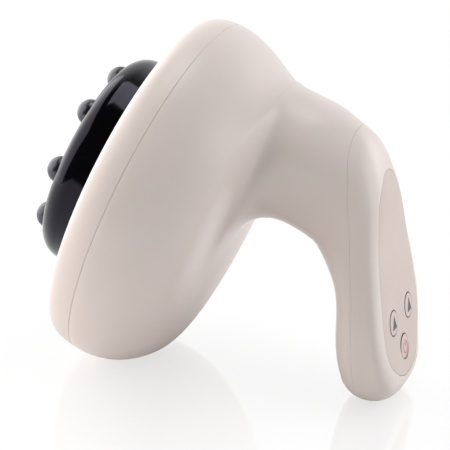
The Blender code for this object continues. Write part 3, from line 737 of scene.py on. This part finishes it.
def ink(name, sign, key):
    """A flat outline of (across, up) points as a thin layer that stands just over the key's top."""
    count = len(sign)
    layers = [np.column_stack([sign, np.full(count, KEY_TOP + lift)]) for lift in (-INK_SINK, INK_TOP)]
    ring = np.arange(count)
    following = (ring + 1) % count
    ends = [ring[::-1].tolist(), (ring + count).tolist()]
    sides = np.column_stack([ring, following, following + count, ring + count]).tolist()
    return mesh_object(name, panel_place(np.vstack(layers), KEYS[key]), ends + sides)


# Across, up, rounding
triangle = rounded([(-1.6, -2.2, 0.25), (2.8, -2.2, 0.25), (0.6, 2.5, 0.25)], 5)
signs = {key: ink(f"key_sign_{key}", triangle, key) for key in ("heat", "suction")}
outer_arc = arc(SIGN_MIDDLE, (RING_OUTSIDE,) * 2, *RING_ENDS, 60)
inner_arc = arc(SIGN_MIDDLE, (RING_INSIDE,) * 2, *RING_ENDS, 60)
signs["power"] = ink("key_sign_power", np.vstack([outer_arc, inner_arc[::-1]]), "power")
upright = rounded([(-0.22, 0.3, 0.15), (0.22, 0.3, 0.15), (0.22, 2.6, 0.15), (-0.22, 2.6, 0.15)], 4)
bar = ink("key_sign_power_bar", SIGN_MIDDLE + upright, "power")

# %% [markdown]
# ## Charging socket
#
# The cell charges through a small flat socket in the inner side of the grip, near its end. A stadium
# outline, two half circles joined by straights, is carried along a profile of rim, wall and floor.

# %% Socket, its tongue, and the slot in the housing
SOCKET_UP = -10.98
SOCKET_FACE = -19.92
STADIUM_STEPS = 48
# Half length of the straights and radius of the half circles
SOCKET_SIZE = (3.1, 1.45)
TONGUE_SIZE = (2.6, 0.34)
SLOT_SIZE = (3.1, 1.95)


def stadium(half, radius):
    """Outline of (across, up) points round two half circles, and its outward direction at each point."""
    turn = np.linspace(-math.pi / 2, 3 * math.pi / 2, STADIUM_STEPS, endpoint=False)
    aside = np.column_stack([np.cos(turn), np.sin(turn)])
    middle = np.where(aside[:, 0] > TINY, half, -half)
    return aside * radius + np.column_stack([middle, np.zeros(STADIUM_STEPS)]), aside


def swept(name, half, radius, profile, closed=True):
    """The profile's (growth, depth) carried round a stadium. Depth runs out of the grip's inner side."""
    line, aside = stadium(half, radius)
    profile = np.asarray(profile, float)
    spots = line[None] + profile[:, 0, None, None] * aside[None]
    depth = np.broadcast_to(profile[:, 1, None], spots.shape[:2])
    points = on_panel(np.stack([SOCKET_FACE - depth, spots[..., 0], spots[..., 1] + SOCKET_UP], -1))
    faces = grid_faces(len(profile), len(line), wrap_rows=closed, wrap_columns=True)
    return mesh_object(name, points, faces)


# Growth over the stadium, depth, rounding
socket_profile = rounded([
    (0.35, 0.0, 0.2),
    (0.35, -6.8, 0.2),
    (-1.55, -6.8, 0.05),
    (-1.55, -5.6, 0.05),
    (-0.1, -5.6, 0.2),
    (-0.1, 0.0, 0.2)], 4)
tongue_profile = [(-0.34, -5.7), (0, -5.7), (0, -1.2), (-0.1, -1.0), (-0.34, -1.0)]
slot_profile = [(-1.95, 4), (0, 4), (0, -4), (-1.95, -4)]
socket = settled(swept("charge_port", *SOCKET_SIZE, socket_profile))
tongue = settled(swept("charge_port_tongue", *TONGUE_SIZE, tongue_profile, closed=False))
slot_cutter = swept("port_slot", *SLOT_SIZE, slot_profile, closed=False)
cut(housing, slot_cutter)
settled(housing, slot_cutter)

# %% [markdown]
# ## Colours and nodes
#
# Screen colours are written as sRGB hex codes, and the shader wants linear light, so one function
# converts them. A second small function adds any node with its settings and its links.

# %% Colour and node helpers
# Nearly all of Blender's noise lies between these two values
NOISE_LOW = 0.3
NOISE_HIGH = 0.7


def linear(code):
    """Linear colour of an sRGB hex code."""
    value = np.array([int(code[k:k + 2], 16) for k in (0, 2, 4)]) / 255
    return tuple(np.where(value <= 0.04045, value / 12.92, ((value + 0.055) / 1.055) ** 2.4)) + (1.0,)


def add_node(tree, kind, settings=(), **inputs):
    """A node of this kind. Settings are its own properties. Inputs are values, or sockets to link from,
    under the input's name or under its number after an underscore."""
    node = tree.nodes.new(kind)
    for key, value in dict(settings).items():
        setattr(node, key, value)
    for key, value in inputs.items():
        socket = node.inputs[int(key[1:]) if key[1:].isdigit() else key.replace("_", " ")]
        if isinstance(value, bpy.types.NodeSocket):
            tree.links.new(value, socket)
        else:
            socket.default_value = value
    return node


def new_material(name, **sockets):
    """A material, its tree and its shader, with these values on the shader's own sockets."""
    made = bpy.data.materials.new(name)
    made.use_nodes = True
    shader = made.node_tree.nodes["Principled BSDF"]
    for key, value in sockets.items():
        shader.inputs[key.replace("_", " ")].default_value = value
    return made, made.node_tree, shader


def grain(tree, shader, size, height, detail):
    """A fine bump: noise with grains of this size, and of this height, both in mm."""
    place = add_node(tree, "ShaderNodeTexCoord").outputs["Object"]
    noise = add_node(tree, "ShaderNodeTexNoise", Vector=place, Scale=1 / (size * MM), Detail=detail)
    bump = add_node(tree, "ShaderNodeBump", Height=noise.outputs["Fac"], Distance=height * MM,
                    Strength=1.0)
    tree.links.new(bump.outputs["Normal"], shader.inputs["Normal"])
    return place


def cloud(tree, place, size, low, high):
    """A slow change between two values over patches of this size in mm."""
    noise = add_node(tree, "ShaderNodeTexNoise", Vector=place, Scale=1 / (size * MM), Detail=2.0)
    fade = add_node(tree, "ShaderNodeMapRange", Value=noise.outputs["Fac"],
                    From_Min=NOISE_LOW, From_Max=NOISE_HIGH, To_Min=low, To_Max=high)
    return fade.outputs["Result"]


def finish(name, tones, patch, size, height, detail=3.0, gloss=None, **sockets):
    """A material whose colour drifts between two close hex tones over patches in mm, under a fine grain
    of a size and height in mm. Gloss is a patch in mm and the two roughnesses it drifts between."""
    made, tree, shader = new_material(name, **sockets)
    place = grain(tree, shader, size, height, detail)
    tone = add_node(tree, "ShaderNodeMix", {"data_type": "RGBA"}, _0=cloud(tree, place, patch, 0.0, 1.0),
                    _6=linear(tones[0]), _7=linear(tones[1]))
    tree.links.new(tone.outputs[2], shader.inputs["Base Color"])
    if gloss:
        tree.links.new(cloud(tree, place, *gloss), shader.inputs["Roughness"])
    return made


# %% [markdown]
# ## Finishes
#
# The shell is ABS, moulded in a finely stippled tool, so it has a soft satin gloss and no sharp
# reflections. The panel is a matt film. The cup is ABS from a polished tool, so black that it only shows
# what it mirrors. The balls are steel with a dark nickel plating. Real stipple and film texture are
# finer than 0.1 mm, which the picture, at a third of a millimetre to the pixel, can't show. They are
# drawn as coarse as they need to be to break up the light.

# %% Finishes that show
# Satin shell: the stipple widens its highlights, and the gloss drifts a little from place to place
cream = finish("moulded satin ABS, cream", ("DED2CC", "DBCFC8"), 30, 0.35, 0.0006,
               gloss=(18, 0.3, 0.35), Roughness=0.32, IOR=1.5)
# Matt film: a deeper texture scatters the light, so the panel has no highlight
film = finish("matt polycarbonate film, beige", ("D0C1B9", "CDBEB6"), 12, 0.18, 0.002, detail=2.0,
              Roughness=0.5, IOR=1.5)
# Polished tool: slow waves a few millimetres long bend the mirror image very slightly, and what it
# mirrors is a little violet, as in the photograph
black = finish("polished ABS, black", ("060607", "08080A"), 20, 2.5, 0.0004, detail=1.0,
               gloss=(9, 0.09, 0.12), Roughness=0.1, IOR=1.45, Specular_Tint=linear("D2CCE6"))
# Dark nickel: a grey metal, polished but not to a mirror, so its highlights are soft and wide
nickel = finish("polished steel, dark nickel plated", ("5E5F65", "55565B"), 3, 0.5, 0.0004,
                Roughness=0.3, Metallic=1.0)
# Screen ink: a thin matt layer, slightly uneven where the mesh of the screen has let it through
ink_dark = finish("screen printed ink, grey", ("4E4E55", "57575E"), 1.5, 0.1, 0.001, Roughness=0.55)
ink_red = finish("screen printed ink, red", ("CE5B62", "D46A70"), 1.5, 0.1, 0.001, Roughness=0.55)

# %% [markdown]
# ## Finishes inside the body
#
# These show through the grille, in the socket and round the keys, and otherwise only when the shell is
# opened. Each is a plain finish with a fine grain, and its tones drift over patches of twelve grains.

# %% Finishes inside the body
PATCH_GRAINS = 12


def plain_finish(name, first, second, size, height, **sockets):
    """A finish with a fine grain and two close tones."""
    return finish(name, (first, second), size * PATCH_GRAINS, size, height, **sockets)


inside = {
    "dark_plastic": plain_finish("moulded nylon, dark grey", "2A2B2E", "323338", 0.4, 0.003,
                                 Roughness=0.5),
    "rubber": plain_finish("moulded silicone rubber, black", "161616", "1C1C1C", 0.6, 0.004,
                           Roughness=0.75),
    "board_green": plain_finish("glass fibre board, green mask", "1F5A3A", "256443", 0.5, 0.002,
                                Roughness=0.35),
    "cell_wrap": plain_finish("shrink wrap, blue", "2F6FA8", "2A669C", 1.0, 0.002, Roughness=0.3),
    "felt": plain_finish("carbon needle felt, charcoal", "26272A", "303135", 0.25, 0.06, Roughness=0.95),
    "hose_clear": plain_finish("silicone tube, milky", "D4D9D9", "C9CFCF", 0.8, 0.002, Roughness=0.3),
    "plate_metal": plain_finish("rolled aluminium", "B9BABD", "C4C5C8", 0.3, 0.001, Roughness=0.3,
                                Metallic=1.0),
}

# %% [markdown]
# ## Dress the solids
#
# Each new piece gets its finish, rides on the body that carries it, and stands for the solid that it
# covers. The pieces inside keep the engineer's solids and only change their finish.

# %% Finish, body and solid of each new piece
def dress(piece, material, body, slot, *nodes):
    """Gives a piece its material, its body and the solids that it stands for. The slot is not used."""
    piece.data.materials.clear()
    piece.data.materials.append(material)
    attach(piece, body)
    if nodes:
        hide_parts(*nodes)


dress(housing, cream, "shell", "cream_shell", "rear_housing")
dress(cover, cream, "shell", "cream_shell", "handle_cover")
dress(bezel, cream, "shell", "cream_shell", "head_bezel")
dress(panel, film, "shell", "panel_beige", "control_panel")
dress(cup, black, "shell", "black_gloss", "massage_cup")
dress(grille, black, "shell", "black_gloss", "suction_grille")
dress(socket, inside["dark_plastic"], "shell", "dark_plastic", "charge_socket")
dress(tongue, inside["dark_plastic"], "shell", "dark_plastic")
for k, ball in enumerate(balls):
    dress(ball, nickel, f"roller_{k + 1}", "ball_steel", f"massage_ball_{k + 1}")
for key, cap in caps.items():
    dress(cap, film, f"key_{key}", "panel_beige", f"button_{key}")
    # The skirt's dark rubber is painted shade in the gap round the key
    dress(shade_skirts[key], inside["rubber"], f"key_{key}", "rubber")
    dress(signs[key], ink_red if key == "power" else ink_dark, f"key_{key}", "panel_beige")
dress(bar, ink_red, "key_power", "panel_beige")

# %% Finish of the solids that stay
slot_of = {row["node"]: row["material_slot"] for row in frame["record"]["subparts"]}
for name, solid in frame["nodes"].items():
    if not solid.hide_render:
        solid.data.materials.clear()
        solid.data.materials.append(inside[slot_of[name]])

# %% [markdown]
# ## Floor, light and camera
#
# The photograph shows white paper under white light, with a soft mirror image that fades away from the
# object. For the camera the floor is plain white, with a soft shadow near the object. A mirror is mixed
# in, and it weakens towards the camera and with distance. For all other rays the floor is white paper
# that sends light back up.

# %% Floor
FLOOR_SIZE = 900
WHITE = (1.0, 1.0, 1.0, 1.0)
# Metres along Y, away from the camera: no mirror before the first, its full share from the second on
MIRROR_NONE, MIRROR_FULL = -0.16, 0.0
MIRROR_SHARE = 0.2
MIRROR_ROUGHNESS = 0.04
SHADOW_SHARE = 0.15
# Metres from the origin, under the object: mirror and shadow weaken from the first and end at the second
NEAR_FLOOR, FAR_FLOOR = 0.2, 0.4
corners = FLOOR_SIZE * np.array([(-1, -1, 0), (1, -1, 0), (1, 1, 0), (-1, 1, 0)], float)
floor = mesh_object("paper_floor", corners, [(0, 1, 2, 3)], closed=False)
paper, tree, shader = new_material("white glazed paper", Base_Color=linear("F4F4F4"), Roughness=0.5)
rays = add_node(tree, "ShaderNodeLightPath")
place = add_node(tree, "ShaderNodeTexCoord").outputs["Object"]
depth = add_node(tree, "ShaderNodeSeparateXYZ", Vector=place)
fade = add_node(tree, "ShaderNodeMapRange", Value=depth.outputs["Y"],
                From_Min=MIRROR_NONE, From_Max=MIRROR_FULL, To_Min=0.0, To_Max=MIRROR_SHARE)
away = add_node(tree, "ShaderNodeVectorMath", {"operation": "LENGTH"}, _0=place)
near = add_node(tree, "ShaderNodeMapRange", Value=away.outputs["Value"],
                From_Min=NEAR_FLOOR, From_Max=FAR_FLOOR, To_Min=1.0, To_Max=0.0)
shine = add_node(tree, "ShaderNodeMath", {"operation": "MULTIPLY"},
                 _0=fade.outputs["Result"], _1=near.outputs["Result"])
shade = add_node(tree, "ShaderNodeMath", {"operation": "MULTIPLY"},
                 _0=near.outputs["Result"], _1=SHADOW_SHARE)
mirror = add_node(tree, "ShaderNodeBsdfGlossy", Color=WHITE, Roughness=MIRROR_ROUGHNESS)
white = add_node(tree, "ShaderNodeEmission", Color=WHITE, Strength=1.0)
soft = add_node(tree, "ShaderNodeBsdfDiffuse", Color=WHITE)
ground = add_node(tree, "ShaderNodeMixShader", Fac=shade.outputs[0], _1=white.outputs[0],
                  _2=soft.outputs[0])
seen = add_node(tree, "ShaderNodeMixShader", Fac=shine.outputs[0], _1=ground.outputs[0],
                _2=mirror.outputs[0])
both = add_node(tree, "ShaderNodeMixShader", Fac=rays.outputs["Is Camera Ray"], _1=shader.outputs[0],
                _2=seen.outputs[0])
tree.links.new(both.outputs[0], tree.nodes["Material Output"].inputs["Surface"])
floor.data.materials.append(paper)

# %% [markdown]
# Glossy rays see a world that is white behind the object and dark on the photographer's side: that is
# what keeps the black cup black. The camera sees plain white, and all other rays get a weak even fill.

# %% World
FILL = 0.2
DARK = 0.03
# Direction to the camera
PHOTOGRAPHER = (0.3, -0.89, 0.34)
# Cosines of the angle to the photographer: white up to the first, dark from the second on
WHITE_END, DARK_START = -0.5, 0.0
world = bpy.data.worlds.new("studio_tent")
bpy.context.scene.world = world
world.use_nodes = True
tree = world.node_tree
tree.nodes.clear()
rays = add_node(tree, "ShaderNodeLightPath")
direction = add_node(tree, "ShaderNodeTexCoord").outputs["Generated"]
front = add_node(tree, "ShaderNodeVectorMath", {"operation": "DOT_PRODUCT"}, _0=direction,
                 _1=PHOTOGRAPHER)
backdrop = add_node(tree, "ShaderNodeMapRange", Value=front.outputs["Value"],
                    From_Min=WHITE_END, From_Max=DARK_START, To_Min=1.0, To_Max=DARK)
fill = add_node(tree, "ShaderNodeBackground", Color=WHITE, Strength=FILL)
mirrored = add_node(tree, "ShaderNodeBackground", Color=WHITE, Strength=backdrop.outputs["Result"])
seen = add_node(tree, "ShaderNodeBackground", Color=WHITE, Strength=1.0)
soft = add_node(tree, "ShaderNodeMixShader", Fac=rays.outputs["Is Glossy Ray"], _1=fill.outputs[0],
                _2=mirrored.outputs[0])
both = add_node(tree, "ShaderNodeMixShader", Fac=rays.outputs["Is Camera Ray"], _1=soft.outputs[0],
                _2=seen.outputs[0])
add_node(tree, "ShaderNodeOutputWorld", Surface=both.outputs[0])

# %% [markdown]
# A large warm softbox on the left draws the shell's long bright side, with smaller cool ones above and
# on the right. Three lamps only light: glossy rays don't see them, because the black cup would mirror
# their outlines as hard white lines.

# %% Lamps
def stand_at(obj, spot, right, back):
    """Links a lamp or camera at a spot in mm, with its right side and its back in these directions."""
    matrix = np.eye(4)
    matrix[:3, :3] = np.column_stack([right, np.cross(back, right), back])
    matrix[:3, 3] = spot * MM
    obj.matrix_world = Matrix(matrix.tolist())
    bpy.context.scene.collection.objects.link(obj)


LAMP_AIM = np.array([0, 0, 60.0])
WARM, COOL = (1.0, 0.985, 0.965), (0.975, 0.98, 1.0)


def softbox(name, spot, size, power, colour, mirrored=True):
    """A rectangular lamp at a spot in mm that faces the object, with its size in mm and its power in
    watts. Glossy surfaces mirror it or not."""
    lamp = bpy.data.lights.new(name, "AREA")
    lamp.shape = "RECTANGLE"
    lamp.size, lamp.size_y = (side * MM for side in size)
    lamp.energy = power
    lamp.color = colour
    obj = bpy.data.objects.new(name, lamp)
    spot = np.array(spot, float)
    back = (spot - LAMP_AIM) / np.linalg.norm(spot - LAMP_AIM)
    right = np.cross([0, 0, 1.0], back)
    stand_at(obj, spot, right / np.linalg.norm(right), back)
    obj.visible_glossy = mirrored


softbox("left_softbox", (-690, 40, 330), (1200, 1000), 6.6, WARM)
softbox("left_rim", (-620, 400, 230), (500, 400), 2.8, WARM, mirrored=False)
softbox("left_low", (-560, -560, 200), (700, 400), 2.3, WARM, mirrored=False)
softbox("top_softbox", (0, 80, 800), (420, 420), 1.5, COOL)
softbox("right_softbox", (700, 0, 300), (450, 450), 1.35, COOL)
softbox("right_rim", (520, 520, 300), (450, 450), 1.2, COOL)
softbox("right_top", (500, 100, 600), (500, 500), 1.4, COOL, mirrored=False)

# %% [markdown]
# The camera stands where the photographer's did. Its place was found by fitting the head's circles, the
# balls, the keys and the outline to the photograph, and a small roll tilts the picture as there.

# %% Camera at the photograph's place
AZIMUTH, ELEVATION, ROLL = math.radians(18.59), math.radians(19.73), math.radians(2.81)
CAMERA_AIM = HEAD_CENTRE + np.array([33.13, 0, -13.1])
DISTANCE = 721.34
PIXELS_PER_MM = 3.02
PICTURE = 450
SENSOR = 36
back = np.array([math.sin(AZIMUTH) * math.cos(ELEVATION), -math.cos(AZIMUTH) * math.cos(ELEVATION),
                 math.sin(ELEVATION)])
level = np.array([math.cos(AZIMUTH), math.sin(AZIMUTH), 0])
right = math.cos(ROLL) * level + math.sin(ROLL) * np.cross(back, level)
lens = bpy.data.cameras.new("photograph_view")
lens.sensor_width = SENSOR
lens.lens = SENSOR * PIXELS_PER_MM * DISTANCE / PICTURE
lens.clip_start, lens.clip_end = 0.05, 10
camera = bpy.data.objects.new("photograph_view", lens)
stand_at(camera, CAMERA_AIM + back * DISTANCE, right, back)
bpy.context.scene.camera = camera
bpy.context.scene.view_settings.view_transform = "Standard"
print("lens in mm", round(lens.lens, 1))
